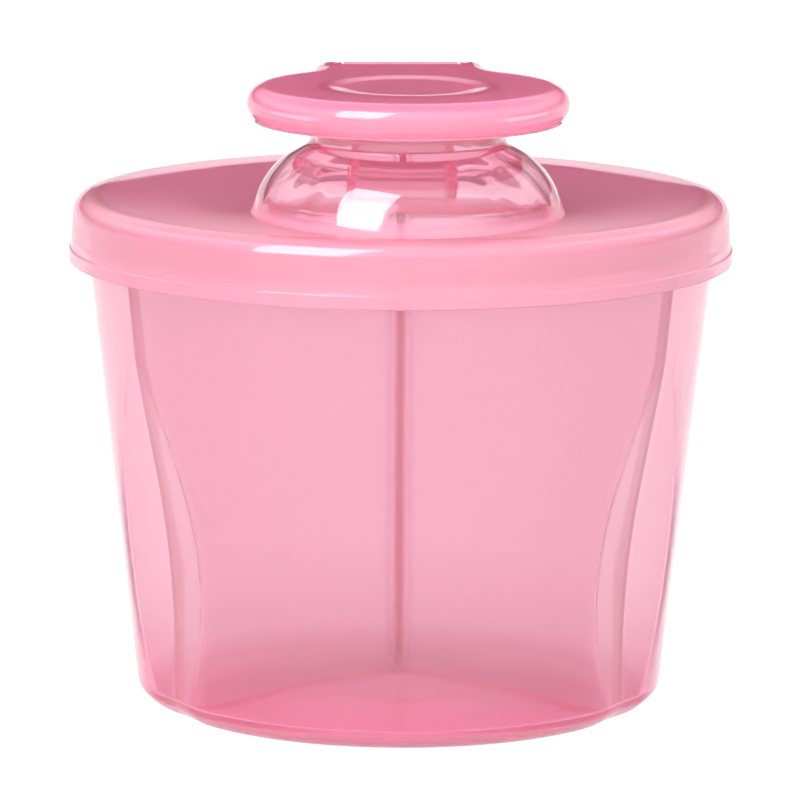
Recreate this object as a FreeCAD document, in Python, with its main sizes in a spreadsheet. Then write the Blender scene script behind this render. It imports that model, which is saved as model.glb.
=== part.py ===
"""Three-compartment formula dispenser: container, lift-out divider, turning lid with a
pouring spout, and a hinged cap.

Millimetres. +Z is up, the front is -Y, and the origin is on the table under the
container's axis.
"""
import FreeCAD, Part
import math
import os

import Sketcher
from FreeCAD import Vector

os.makedirs("parts", exist_ok=True)
doc = FreeCAD.newDocument("formula_dispenser")

# ---------------------------------------------------------------- driving sizes
SIZES = {
    # container
    "base_radius": (43.2, "outer radius of the tapered wall at the table"),
    "wall_draft": (0.1143, "how far the wall leans out for each mm of height"),
    "rim_height": (83.2, "top of the container's rim"),
    "wall": (1.3, "container wall"),
    "base_round": (2.56, "outer radius where the wall starts to turn under"),
    "base_sweep": (9.2, "wider outer radius from there to the foot"),
    "foot_width": (2.4, "flat ring that the container stands on"),
    "floor": (1.5, "floor thickness"),
    "floor_rise": (2.9, "how far the floor is domed up at its centre"),
    "rim_bead": (0.25, "how far the rim bead stands out"),
    "bead_height": (1.7, "height of the rim bead"),
    # the three flutes, pressed in along the divider's blades
    "flute_inset": (0.35, "how far the flute's valley lies inside the wall at the table"),
    "flute_knee": (26.4, "height where the valley's two straight parts would meet"),
    "flute_draft": (0.21, "lean of the valley's upper part"),
    "flute_bend": (15.8, "length of the bend on each side of the knee"),
    "flute_open": (0.07, "rise of the flute's sides for each mm out of its valley"),
    # divider
    "blade": (1.2, "blade thickness"),
    "core_round": (4.0, "radius between two blades at the core"),
    "slip_gap": (0.3, "gap between the divider or lid and what is round it"),
    # lid
    "rim_gap": (1.4, "container's rim to the underside of the plate"),
    "plate": (1.5, "plate thickness"),
    "crown_width": (18.4, "width of the plate's outer part, which falls away"),
    "crown_fall": (0.95, "fall of the plate over that width"),
    "shoulder_round": (3.1, "outer radius between plate and skirt"),
    "skirt_wall": (1.15, "skirt thickness"),
    "skirt_flare": (0.3, "how much wider the skirt is at its lower end"),
    "skirt_depth": (8.5, "how far the skirt reaches below the container's rim"),
    "band_height": (2.3, "height of the thick band at the skirt's edge"),
    "band_proud": (0.29, "how far the band stands out"),
    "snap_depth": (4.4, "container's rim down to the snap bead inside the skirt"),
    "seal_depth": (6.4, "how far the seal ring reaches below the plate"),
    "seal_wall": (1.1, "seal ring thickness"),
    "lid_turn": (2.5, "how far the lid stands turned, in degrees"),
    # spout
    "spout_inset": (0.34, "seal ring to the spout's bore, where they come nearest"),
    "spout_foot": (25.5, "outer radius of the spout at the plate"),
    "hip_inset": (0.9, "how far the flank has leant in where it starts to round over"),
    "hip_height": (2.6, "height of that point over the plate"),
    "brow_inset": (6.5, "how far the flank has come in where the rounding ends"),
    "brow_height": (9.6, "height of that point over the plate"),
    "flank_round": (13.0, "radius of the rounded flank"),
    "neck_radius": (15.9, "outer radius of the neck"),
    "neck_foot": (11.3, "height of the neck's lower end over the plate"),
    "neck_round": (1.5, "radius between the shoulder and the neck"),
    "spout_wall": (1.4, "spout wall"),
    "neck_wall": (1.0, "neck wall"),
    # cap
    "cap_radius": (26.1, "outer radius of the cap's disc"),
    "cap_lift": (14.9, "the lid's plate to the lower side of the cap"),
    "cap_height": (5.75, "cap height"),
    "edge_flat": (0.05, "upright stretch between the two rounds of the cap's rolled edge"),
    "cap_wall": (1.6, "cap wall and top"),
    "dish_radius": (13.5, "radius of the finger dish"),
    "dish_depth": (0.45, "depth of the finger dish"),
    "ear_width": (4.7, "width of each hinge ear of the cap's tail"),
    "ear_corner": (0.25, "how much rounder the ears are in plan than the rolled edge"),
    "tail_blend": (9.0, "plan radius between disc and tail"),
    "plug_length": (6.4, "how far the plug reaches below the cap's top wall"),
    "plug_wall": (1.3, "plug thickness"),
    "plug_taper": (0.6, "how much narrower the plug is at its lower end"),
    # hinge
    "hinge_reach": (4.3, "the cap's disc to the hinge axis behind it"),
    "knuckle_half": (9.5, "half the width of the knuckle"),
    "hinge_gap": (0.3, "gap between the knuckle and the cap"),
    "pin_radius": (1.2, "radius of the hinge pins"),
    "pin_length": (2.6, "how far each pin stands out of the knuckle"),
    "pin_play": (0.05, "radial play of the pins in the cap"),
    "bracket_wall": (1.6, "wall of the hinge bracket"),
}

sheet = doc.addObject("Spreadsheet::Sheet", "sizes")
for row, (name, (number, meaning)) in enumerate(SIZES.items(), start=1):
    sheet.set("A%d" % row, name)
    sheet.set("B%d" % row, str(number))
    sheet.set("C%d" % row, meaning)
    sheet.setAlias("B%d" % row, name)
doc.recompute()


class Size:
    """A number together with the spreadsheet expression that gives it."""

    def __init__(self, value, text):
        self.value = value
        self.text = text

    def __add__(self, other):
        other = as_size(other)
        return Size(self.value + other.value, "(%s + %s)" % (self.text, other.text))

    def __sub__(self, other):
        other = as_size(other)
        return Size(self.value - other.value, "(%s - %s)" % (self.text, other.text))

    def __mul__(self, other):
        other = as_size(other)
        return Size(self.value * other.value, "(%s * %s)" % (self.text, other.text))

    def __truediv__(self, other):
        other = as_size(other)
        return Size(self.value / other.value, "(%s / %s)" % (self.text, other.text))

    def __neg__(self):
        return as_size(0) - self

    def __radd__(self, other):
        return as_size(other) + self

    def __rsub__(self, other):
        return as_size(other) - self

    def __rmul__(self, other):
        return as_size(other) * self

    def root(self):
        return Size(math.sqrt(self.value), "sqrt(%s)" % self.text)


def as_size(number):
    """A plain number as a Size, and a Size as it is."""
    if isinstance(number, Size):
        return number
    return Size(float(number), repr(float(number)))


def size(name):
    """The Size of one cell of the sheet."""
    return Size(float(sheet.get(name)), "sizes." + name)


# ---------------------------------------------------------------- drawing tools
def new_body(name):
    return doc.addObject("PartDesign::Body", name)


def bind(thing, path, amount):
    """Give one property of an object a size from the sheet."""
    thing.setExpression(path, as_size(amount).text)


def sketch_on(body, name, role, height=None):
    """A sketch on one of the body's own planes, lifted along the plane's normal."""
    sketch = body.newObject("Sketcher::SketchObject", name)
    plane = next(item for item in body.Origin.OriginFeatures if item.Role == role)
    sketch.AttachmentSupport = [(plane, "")]
    sketch.MapMode = "FlatFace"
    if height is not None:
        bind(sketch, "AttachmentOffset.Base.z", height)
    return sketch


def place(sketch, geometry, point, x, y):
    """Fix a sketch point at x, y with dimensions bound to the sheet."""
    for kind, axis, amount in (("DistanceX", -2, as_size(x)), ("DistanceY", -1, as_size(y))):
        if amount.text == "0.0":
            sketch.addConstraint(Sketcher.Constraint("PointOnObject", geometry, point, axis))
            continue
        number = sketch.addConstraint(
            Sketcher.Constraint(kind, -1, 1, geometry, point, amount.value))
        sketch.setExpression("Constraints[%d]" % number, amount.text)


def arc_centre(start, end, bend):
    """Centre of the arc from start to end. bend is (what is given, its size, turn),
    where what is given is radius, centre_x or centre_y, and turn is 1 if anticlockwise."""
    given, amount, turn = bend
    middle = (start + end) * 0.5
    across = Vector(-(end - start).y, (end - start).x, 0).normalize()
    if given == "radius":
        half = (end - start).Length / 2
        return middle + across * turn * math.sqrt(amount.value ** 2 - half ** 2)
    if given == "centre_x":
        return middle + across * ((amount.value - middle.x) / across.x)
    return middle + across * ((amount.value - middle.y) / across.y)


def add_arc(sketch, start, end, bend):
    """Add one arc to a sketch. Returns its number and the ends where it starts and stops."""
    given, amount, turn = bend
    amount = as_size(amount)
    centre = arc_centre(start, end, (given, amount, turn))
    first, last = (start, end) if turn > 0 else (end, start)
    angles = [math.atan2((p - centre).y, (p - centre).x) for p in (first, last)]
    circle = Part.Circle(centre, Vector(0, 0, 1), (start - centre).Length)
    number = sketch.addGeometry(Part.ArcOfCircle(circle, angles[0], angles[1]), False)
    if given == "radius":
        rule = sketch.addConstraint(Sketcher.Constraint("Radius", number, amount.value))
        sketch.setExpression("Constraints[%d]" % rule, amount.text)
    elif amount.text == "0.0":
        axis = -2 if given == "centre_x" else -1
        sketch.addConstraint(Sketcher.Constraint("PointOnObject", number, 3, axis))
    else:
        kind = "DistanceX" if given == "centre_x" else "DistanceY"
        rule = sketch.addConstraint(Sketcher.Constraint(kind, -1, 1, number, 3, amount.value))
        sketch.setExpression("Constraints[%d]" % rule, amount.text)
    return (number, 1, 2) if turn > 0 else (number, 2, 1)


def outline(sketch, corners):
    """Draw a closed outline. A corner is (x, y), or (x, y, bend) where the edge that
    leaves it is an arc."""
    points = [Vector(as_size(c[0]).value, as_size(c[1]).value, 0) for c in corners]
    edges = []
    for index, corner in enumerate(corners):
        start = points[index]
        end = points[(index + 1) % len(points)]
        if len(corner) == 3:
            edges.append(add_arc(sketch, start, end, corner[2]))
        else:
            edges.append((sketch.addGeometry(Part.LineSegment(start, end), False), 1, 2))
    for index, (number, head, tail) in enumerate(edges):
        after, after_head, _ = edges[(index + 1) % len(edges)]
        sketch.addConstraint(Sketcher.Constraint("Coincident", number, tail, after, after_head))
    for corner, (number, head, tail) in zip(corners, edges):
        place(sketch, number, head, corner[0], corner[1])


def circle(sketch, x, y, radius):
    radius = as_size(radius)
    centre = Vector(as_size(x).value, as_size(y).value, 0)
    number = sketch.addGeometry(Part.Circle(centre, Vector(0, 0, 1), radius.value), False)
    place(sketch, number, 3, x, y)
    rule = sketch.addConstraint(Sketcher.Constraint("Radius", number, radius.value))
    sketch.setExpression("Constraints[%d]" % rule, radius.text)


def turned(body, name, corners):
    """A solid of revolution about the body's Z axis, from its half section."""
    sketch = sketch_on(body, name + "_section", "XZ_Plane")
    outline(sketch, corners)
    feature = body.newObject("PartDesign::Revolution", name)
    feature.Profile = sketch
    feature.ReferenceAxis = (sketch, ["V_Axis"])
    feature.Angle = 360
    sketch.Visibility = False
    doc.recompute()
    return feature


def extruded(body, name, sketch, length, kind="PartDesign::Pad", both=False, flip=False):
    """A pad or pocket of a sketch, to one side or equally to both sides of its plane."""
    feature = body.newObject(kind, name)
    feature.Profile = sketch
    bind(feature, "Length", length)
    feature.SideType = "Symmetric" if both else "One side"
    feature.Reversed = flip
    sketch.Visibility = False
    doc.recompute()
    return feature


def three_times(body, name, features):
    """Repeat features at each third of a turn."""
    pattern = body.newObject("PartDesign::PolarPattern", name)
    pattern.Originals = features
    axis = next(item for item in body.Origin.OriginFeatures if item.Role == "Z_Axis")
    pattern.Axis = (axis, [""])
    pattern.Angle = 360
    pattern.Occurrences = 3
    body.Tip = pattern
    doc.recompute()
    return pattern


def rounded(body, name, feature, radius, wanted):
    """Fillet those edges of a feature that the test wanted(edge) picks."""
    names = ["Edge%d" % (i + 1) for i, edge in enumerate(feature.Shape.Edges) if wanted(edge)]
    if not names:
        raise RuntimeError("no edge found for " + name)
    fillet = body.newObject("PartDesign::Fillet", name)
    fillet.Base = (feature, names)
    bind(fillet, "Radius", radius)
    doc.recompute()
    return fillet


def ring_at(radius, height):
    """A test for a circular edge about the body's axis at a radius and height."""
    radius, height = as_size(radius).value, as_size(height).value

    def wanted(edge):
        if edge.Degenerated or not isinstance(edge.Curve, Part.Circle):
            return False
        centre = edge.Curve.Center
        on_axis = math.hypot(centre.x, centre.y) < 0.01
        return on_axis and abs(edge.Curve.Radius - radius) < 0.02 and abs(centre.z - height) < 0.02

    return wanted


# ---------------------------------------------------------------- shared places
wall, slip = size("wall"), size("slip_gap")
rim_height = size("rim_height")
plate = size("plate")
plate_under = rim_height + size("rim_gap")
lid_height = plate_under + plate
cap_bottom = lid_height + size("cap_lift")
cap_edge = (size("cap_height") - size("edge_flat")) / 2
hinge_height = cap_bottom + size("cap_height") / 2
hinge_radius = size("cap_radius") + size("hinge_reach")     # spout axis to hinge axis
notch_half = size("knuckle_half") + size("hinge_gap")
valley_radius = size("base_radius") - size("flute_inset")
outside = size("base_radius") * 2 + rim_height               # well clear of the object


def cone_radius(height):
    """Outer radius of the container's wall at a height."""
    return size("base_radius") + size("wall_draft") * height


bead_radius = cone_radius(rim_height) + size("rim_bead")
skirt_inside = bead_radius + slip
skirt_outside = skirt_inside + size("skirt_wall")
crown_start = skirt_outside - size("crown_width")
seal_bottom = plate_under - size("seal_depth")
seal_outside = cone_radius(seal_bottom) - wall - slip
seal_inside = seal_outside - size("seal_wall")
spout_offset = seal_inside - size("spout_inset") - size("spout_foot") + size("spout_wall")


def plate_fall(radius):
    """How far the lid's plate has fallen at a radius outside its level middle."""
    share = (radius - crown_start) / size("crown_width")
    return size("crown_fall") * share * share


# ---------------------------------------------------------------- container
def base_turn(line_radius, draft, level, inset):
    """Foot, middle and upper end of the two arcs that turn a wall under. The wall's line
    leans by draft from line_radius at the table, and inset moves both arcs inwards."""
    small, large = size("base_round") - inset, size("base_sweep") - inset
    half_right = math.sqrt(0.5)
    steep = (draft * draft + 1).root()
    drop = (large - small) * half_right
    top = level + large - drop - small * draft / steep
    foot = line_radius + draft * top - small / steep - drop
    middle = (foot + large * half_right, level + large * (1 - half_right))
    return (foot, level), middle, (line_radius + draft * top, top)


def turned_under(line_radius, draft, level, inset):
    """The same places as outline corners, from the wall in to the foot."""
    foot, middle, top = base_turn(line_radius, draft, level, inset)
    return [
        (*top, ("radius", size("base_round") - inset, -1)),
        (*middle, ("radius", size("base_sweep") - inset, -1)),
        foot,
    ]


def foot_inside():
    """Inner radius of the ring that the container stands on."""
    foot = base_turn(size("base_radius"), size("wall_draft"), as_size(0), as_size(0))[0]
    return foot[0] - size("foot_width")


def valley_line(inset):
    """The flute's valley from its foot to beyond the wall, as outline corners that run
    upwards. inset moves it towards the axis."""
    radius = valley_radius - inset
    knee, bend, draft = size("flute_knee"), size("flute_bend"), size("flute_draft")
    steep = (draft * draft + 1).root()
    return [
        (radius, knee - bend, ("centre_y", knee - bend, -1)),
        (radius + bend * draft / steep, knee + bend / steep),
        (radius + draft * (outside - knee), outside),
    ]


def cut_flutes(body, name, inset, level):
    """Press the three flutes into a turned body. Each is cut to both sides of its valley,
    and its foot is turned under as the wall is."""
    before = body.Tip.Shape.Volume
    foot, middle, top = base_turn(valley_radius - inset, as_size(0), level, inset)
    small, large = size("base_round") - inset, size("base_sweep") - inset
    sides = []
    for side, word in ((1, "right"), (-1, "left")):
        sketch = sketch_on(body, "%s_%s_profile" % (name, word), "YZ_Plane")
        outline(sketch, [
            (*foot, ("radius", large, 1)),
            (*middle, ("radius", small, 1)),
            top,
            *valley_line(inset),
            (outside, outside),
            (outside, -outside / 8),
            (foot[0], -outside / 8),
        ])
        cut = body.newObject("PartDesign::Pocket", "%s_%s" % (name, word))
        cut.Profile = sketch
        bind(cut, "Length", outside / 2)
        cut.UseCustomVector = True
        bind(cut, "Direction.x", side)
        bind(cut, "Direction.y", size("flute_open"))
        bind(cut, "Direction.z", 0)
        sketch.Visibility = False
        doc.recompute()
        sides.append(cut)
    three_times(body, name + "_three", sides)
    if body.Tip.Shape.Volume > before - 1:
        raise RuntimeError(name + " removed nothing")


def container():
    """The fluted cup: an outer form less an inner one, both turned and then fluted."""
    outer = new_body("container_outside")
    foot_in = foot_inside()
    bead_foot = rim_height - size("bead_height")
    turned(outer, "outer_form", [
        (0, size("floor_rise")),
        (0, rim_height),
        (bead_radius, rim_height),
        (bead_radius, bead_foot),
        (cone_radius(bead_foot - size("rim_bead")), bead_foot - size("rim_bead")),
        *turned_under(size("base_radius"), size("wall_draft"), as_size(0), as_size(0)),
        (foot_in, 0, ("centre_x", 0, 1)),
    ])
    cut_flutes(outer, "outer_flute", as_size(0), as_size(0))

    inner = new_body("container_inside")
    floor = size("floor")
    turned(inner, "inner_form", [
        (0, floor + size("floor_rise")),
        (0, outside),
        (cone_radius(outside) - wall, outside),
        *turned_under(size("base_radius") - wall, size("wall_draft"), floor, wall),
        (foot_in, floor, ("centre_x", 0, 1)),
    ])
    cut_flutes(inner, "inner_flute", wall, floor)

    cup = doc.addObject("Part::Cut", "container")
    cup.Base = outer
    cup.Tool = inner
    return cup


# ---------------------------------------------------------------- divider
def divider():
    """Three blades on a filleted core. Each blade's edge follows its flute's valley."""
    body = new_body("divider")
    inset = wall + slip
    floor = size("floor") + slip
    valley = valley_line(inset)
    meet = (valley_radius - size("flute_draft") * size("flute_knee")
            - size("base_radius")) / (size("wall_draft") - size("flute_draft"))
    notch = seal_bottom - slip
    notch_radius = seal_inside - slip
    top = plate_under - slip
    sketch = sketch_on(body, "blade_profile", "YZ_Plane")
    level = size("core_round")
    outline(sketch, [
        (0, floor + size("floor_rise")),
        (0, top),
        (crown_start, top),
        (notch_radius, top - plate_fall(notch_radius)),
        (notch_radius, notch),
        (cone_radius(notch) - inset, notch),
        (cone_radius(meet) - inset, meet),
        (valley[1][0], valley[1][1], ("centre_y", valley[0][1], 1)),
        valley[0][:2],
        *turned_under(valley_radius - inset, as_size(0), floor, inset),
        (foot_inside(), floor, ("centre_x", level, 1)),
        (level, floor + size("floor_rise")),
    ])
    blade = extruded(body, "blade", sketch, size("blade"), both=True)
    star = three_times(body, "three_blades", [blade])

    def core_edge(edge):
        ends = [v.Point for v in edge.Vertexes]
        near = all(math.hypot(p.x, p.y) < size("blade").value for p in ends)
        return len(ends) == 2 and near and edge.Length > rim_height.value / 2

    rounded(body, "core", star, size("core_round"), core_edge)
    return body


# ---------------------------------------------------------------- lid
def lid_cover():
    """Crowned plate, skirt with its thick band and snap bead, and the seal ring."""
    body = new_body("lid_cover")
    start = crown_start
    bottom, flare = rim_height - size("skirt_depth"), size("skirt_flare")
    band_top = bottom + size("band_height")
    snap, bead = rim_height - size("snap_depth"), size("rim_bead")
    shoulder, hollow = size("shoulder_round"), size("shoulder_round") - plate
    snap_wall = skirt_inside + bead
    band, proud = skirt_outside + flare, size("band_proud")
    lean = size("crown_fall") * 2 / size("crown_width")
    over = skirt_outside - shoulder + shoulder * lean
    under = skirt_inside - hollow + hollow * lean
    over_height = lid_height - plate_fall(over)
    under_height = plate_under - plate_fall(under)
    turned(body, "cover_form", [
        (0, lid_height),
        (start, lid_height, ("centre_x", start, -1)),
        (over, over_height, ("radius", shoulder, -1)),
        (skirt_outside, over_height - shoulder),
        (band, band_top, ("radius", proud, -1)),
        (band + proud, band_top - proud),
        (band + proud, bottom + proud, ("radius", proud, -1)),
        (band, bottom),
        (snap_wall + flare, bottom),
        (snap_wall, snap - bead * 2),
        (skirt_inside, snap - bead),
        (skirt_inside, snap + bead),
        (skirt_inside, under_height - hollow, ("radius", hollow, 1)),
        (under, under_height),
        (seal_outside, plate_under - plate_fall(seal_outside)),
        (seal_outside, seal_bottom),
        (seal_inside, seal_bottom),
        (seal_inside, plate_under - plate_fall(seal_inside), ("centre_x", start, 1)),
        (start, plate_under),
        (0, plate_under),
    ])
    return body


def spout_form(name, inset, neck_radius, low, high):
    """The spout's turned form, seen from its own axis. inset moves the flank inwards."""
    body = new_body(name)
    foot_radius = size("spout_foot") - inset
    hip = lid_height + size("hip_height")
    brow = lid_height + size("brow_height") - inset
    neck_foot = lid_height + size("neck_foot") - inset
    form = turned(body, name + "_form", [
        (0, low),
        (0, high),
        (neck_radius, high),
        (neck_radius, neck_foot),
        (foot_radius - size("brow_inset"), brow, ("radius", size("flank_round") - inset, -1)),
        (foot_radius - size("hip_inset"), hip),
        (foot_radius, lid_height),
        (foot_radius, low),
    ])
    rounded(body, name + "_neck", form, size("neck_round"), ring_at(neck_radius, neck_foot))
    bind(body, "Placement.Base.y", -spout_offset)
    return body


def hinge_bracket():
    """The post behind the spout: a back wall, two side ribs, the knuckle and its pins."""
    body = new_body("hinge_bracket")
    back, half = hinge_radius - spout_offset, size("knuckle_half")
    bracket, radius = size("bracket_wall"), size("cap_height") / 2
    foot = plate_under + plate / 2
    rib_front = size("spout_foot") - size("spout_wall") - spout_offset - size("spout_wall")

    panel = sketch_on(body, "panel_profile", "YZ_Plane")
    outline(panel, [
        (back + radius, foot),
        (back + radius, hinge_height, ("centre_y", hinge_height, 1)),
        (back - radius, hinge_height),
        (back + radius - bracket, hinge_height - radius),
        (back + radius - bracket, foot),
    ])
    extruded(body, "panel", panel, half * 2, both=True)

    ribs = sketch_on(body, "rib_profile", "YZ_Plane", half - bracket)
    outline(ribs, [
        (back + radius - bracket / 2, foot),
        (back + radius - bracket / 2, hinge_height - radius),
        (back - radius, hinge_height - radius),
        (rib_front - bracket, lid_height + size("hip_height") * 2),
        (rib_front, foot),
    ])
    rib = extruded(body, "rib", ribs, bracket)
    mirror = body.newObject("PartDesign::Mirrored", "second_rib")
    mirror.Originals = [rib]
    plane = next(item for item in body.Origin.OriginFeatures if item.Role == "YZ_Plane")
    mirror.MirrorPlane = (plane, [""])
    body.Tip = mirror
    doc.recompute()

    pins = sketch_on(body, "pin_circle", "YZ_Plane")
    circle(pins, back, hinge_height, size("pin_radius"))
    extruded(body, "pins", pins, (half + size("pin_length")) * 2, both=True)
    return body


def lid():
    """Cover, spout and hinge bracket as one moulding, bored through for pouring."""
    neck_top = cap_bottom + size("cap_height") - size("cap_wall") - slip
    solid = doc.addObject("Part::MultiFuse", "lid_solid")
    neck = size("neck_radius")
    flank = spout_form("spout_outside", as_size(0), neck, plate_under + plate / 2 - slip, neck_top)
    solid.Shapes = [lid_cover(), flank, hinge_bracket()]
    bore = spout_form("spout_bore", size("spout_wall"), neck - size("neck_wall"),
                      seal_bottom, outside * 2)
    moulding = doc.addObject("Part::Cut", "lid")
    moulding.Base = solid
    moulding.Tool = bore
    return moulding


# ---------------------------------------------------------------- cap
def cap_outline(sketch, radius, half, back, corner, blend):
    """Disc and hinge tail in plan, about the spout axis, joined by hollow blends."""
    reach = radius + blend
    side = half + blend
    centre = (reach * reach - side * side).root()
    touch_x = side * radius / reach
    touch_y = centre * radius / reach
    outline(sketch, [
        (touch_x, touch_y, ("radius", blend, -1)),
        (half, centre),
        (half, back - corner, ("radius", corner, 1)),
        (half - corner, back),
        (-half + corner, back, ("radius", corner, 1)),
        (-half, back - corner),
        (-half, centre, ("radius", blend, -1)),
        (-touch_x, touch_y, ("centre_x", 0, 1)),
        (0, -radius, ("centre_x", 0, 1)),
    ])


def cap():
    """Disc with a rolled edge, a finger dish, a tapered plug and two hinge ears."""
    body = new_body("cap")
    bottom, height, skin = cap_bottom, size("cap_height"), size("cap_wall")
    radius, half = size("cap_radius"), notch_half + size("ear_width")
    back = hinge_radius + height / 2
    notch_front = hinge_radius - height / 2 - size("hinge_gap")

    plan = sketch_on(body, "cap_plan", "XY_Plane", bottom)
    cap_outline(plan, radius, half, back, cap_edge + size("ear_corner"), size("tail_blend"))
    slab = extruded(body, "slab", plan, height)
    level = (bottom.value, (bottom + height).value)
    rounded(body, "rolled_edge", slab, cap_edge,
            lambda e: all(min(abs(v.Point.z - z) for z in level) < 0.01
                          for v in e.Vertexes) and abs(e.BoundBox.ZLength) < 0.01)

    under = sketch_on(body, "hollow_plan", "XY_Plane", bottom)
    inner = radius - skin
    reach = (inner * inner - notch_half * notch_half).root()
    outline(under, [
        (notch_half, reach),
        (notch_half, notch_front + height / 2),
        (-notch_half, notch_front + height / 2),
        (-notch_half, reach, ("centre_x", 0, 1)),
        (0, -inner, ("centre_x", 0, 1)),
    ])
    extruded(body, "hollow", under, height - skin, "PartDesign::Pocket", flip=True)

    notch = sketch_on(body, "notch_plan", "XY_Plane", bottom)
    outline(notch, [
        (notch_half, notch_front),
        (notch_half, back + height),
        (-notch_half, back + height),
        (-notch_half, notch_front),
    ])
    extruded(body, "notch", notch, height * 2, "PartDesign::Pocket", flip=True)

    bores = sketch_on(body, "pin_bores", "YZ_Plane")
    circle(bores, hinge_radius, hinge_height, size("pin_radius") + size("pin_play"))
    deep = size("knuckle_half") + size("pin_length") + size("hinge_gap")
    extruded(body, "pin_bore", bores, deep * 2, "PartDesign::Pocket", both=True)

    plug_top = bottom + height - skin
    plug_bottom = plug_top - size("plug_length")
    plug_radius = size("neck_radius") - size("neck_wall") - slip
    narrow = plug_radius - size("plug_taper")
    turned(body, "plug", [
        (plug_radius, plug_top + skin / 2),
        (plug_radius, plug_top),
        (narrow, plug_bottom),
        (narrow - size("plug_wall"), plug_bottom),
        (plug_radius - size("plug_wall"), plug_top),
        (plug_radius - size("plug_wall"), plug_top + skin / 2),
    ])

    dish = sketch_on(body, "dish_section", "XZ_Plane")
    top = bottom + height
    outline(dish, [
        (0, top - size("dish_depth"), ("centre_x", 0, 1)),
        (size("dish_radius"), top),
        (size("dish_radius"), top + skin),
        (0, top + skin),
    ])
    groove = body.newObject("PartDesign::Groove", "dish")
    groove.Profile = dish
    groove.ReferenceAxis = (dish, ["V_Axis"])
    groove.Angle = 360
    dish.Visibility = False
    doc.recompute()
    return body


# ---------------------------------------------------------------- assembly and files
def stand_turned(piece, offset):
    """Turn a finished piece about the container's axis by the lid's turn. offset is how far
    the piece's own axis lies in front of the container's."""
    bind(piece, "Placement.Rotation.Angle", Size(0, "sizes.lid_turn * 1 deg"))
    bind(piece, "Placement.Base.x", offset * Size(0, "sin(sizes.lid_turn * 1 deg)"))
    bind(piece, "Placement.Base.y", -offset * Size(0, "cos(sizes.lid_turn * 1 deg)"))


pieces = {"container": container(), "divider": divider(), "lid": lid(), "cap": cap()}
stand_turned(pieces["lid"], as_size(0))
stand_turned(pieces["cap"], spout_offset)
doc.recompute()

for thing in doc.Objects:
    if {"Invalid", "Error"} & set(thing.State):
        raise RuntimeError("%s failed: %s" % (thing.Name, thing.State))

for name, piece in pieces.items():
    piece.Label = name
    shape = piece.Shape
    if shape.isNull() or not shape.isValid() or len(shape.Solids) != 1:
        raise RuntimeError(name + " is not one valid solid")
    shape.exportStep("parts/%s.step" % name)
    print("%s: %.0f mm3, %s" % (name, shape.Volume, shape.BoundBox))
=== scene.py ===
"""Three-compartment formula dispenser in translucent pink plastic, dressed for the render.

Sections and sizes are in millimetres, as the moulds are drawn. Meshes are in metres, with
+Z up, the front at -Y and the origin on the table under the container's axis.
"""
import math

import bmesh
import bpy
import numpy as np
from mathutils import Matrix, Vector


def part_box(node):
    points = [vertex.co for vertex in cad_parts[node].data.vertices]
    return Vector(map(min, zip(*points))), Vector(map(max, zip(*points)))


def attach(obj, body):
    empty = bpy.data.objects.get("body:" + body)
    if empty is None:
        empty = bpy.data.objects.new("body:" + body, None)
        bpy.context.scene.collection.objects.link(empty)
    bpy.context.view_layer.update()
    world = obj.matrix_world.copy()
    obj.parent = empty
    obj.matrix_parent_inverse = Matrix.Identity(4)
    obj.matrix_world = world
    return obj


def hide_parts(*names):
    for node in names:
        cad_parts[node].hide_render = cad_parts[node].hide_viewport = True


MM = 0.001
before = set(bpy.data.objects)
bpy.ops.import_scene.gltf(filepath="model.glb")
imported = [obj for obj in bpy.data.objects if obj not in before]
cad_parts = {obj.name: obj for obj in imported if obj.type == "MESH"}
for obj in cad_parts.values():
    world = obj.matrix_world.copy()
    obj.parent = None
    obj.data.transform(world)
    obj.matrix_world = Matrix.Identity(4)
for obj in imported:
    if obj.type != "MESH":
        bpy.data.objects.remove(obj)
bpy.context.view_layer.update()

# ---------------------------------------------------------------- sizes of the mouldings
# container
BASE_RADIUS = 43.2
WALL_DRAFT = 0.1143        # how far the wall leans out for each millimetre of height
RIM_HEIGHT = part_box("container")[1].z / MM
WALL = 1.3
BASE_ROUND = 2.56          # radius where the wall starts to turn under
BASE_SWEEP = 9.2           # wider radius from there to the foot
FOOT_WIDTH = 2.4
FLOOR = 1.5
FLOOR_RISE = 2.9
RIM_BEAD = 0.25
BEAD_HEIGHT = 1.7
FLUTE_INSET = 0.35
FLUTE_KNEE = 26.4          # height where the valley's two straight parts would meet
FLUTE_DRAFT = 0.21         # lean of the valley's upper part
FLUTE_BEND = 15.8          # length of the bend on each side of the knee
FLUTE_OPEN = 0.07          # rise of a flute's sides for each millimetre out of its valley
# divider
BLADE = 1.2
CORE_ROUND = 4.0
SLIP = 0.3
# lid
RIM_GAP = 1.4
PLATE = 1.5
CROWN_WIDTH = 18.4
CROWN_FALL = 0.95
SHOULDER_ROUND = 3.1
SKIRT_WALL = 1.15
SKIRT_FLARE = 0.3
SKIRT_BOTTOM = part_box("lid")[0].z / MM
BAND_HEIGHT = 2.3
BAND_PROUD = 0.29
SNAP_DEPTH = 4.4
SEAL_DEPTH = 6.4
SEAL_WALL = 1.1
LID_TURN = math.radians(2.5)
# spout
SPOUT_INSET = 0.34
SPOUT_FOOT = 25.5
HIP_INSET = 0.9
HIP_HEIGHT = 2.6
BROW_INSET = 6.5
BROW_HEIGHT = 9.6
FLANK_ROUND = 13.0
NECK_RADIUS = 15.9
NECK_FOOT = 11.3
NECK_ROUND = 1.5
SPOUT_WALL = 1.4
NECK_WALL = 1.0
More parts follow.
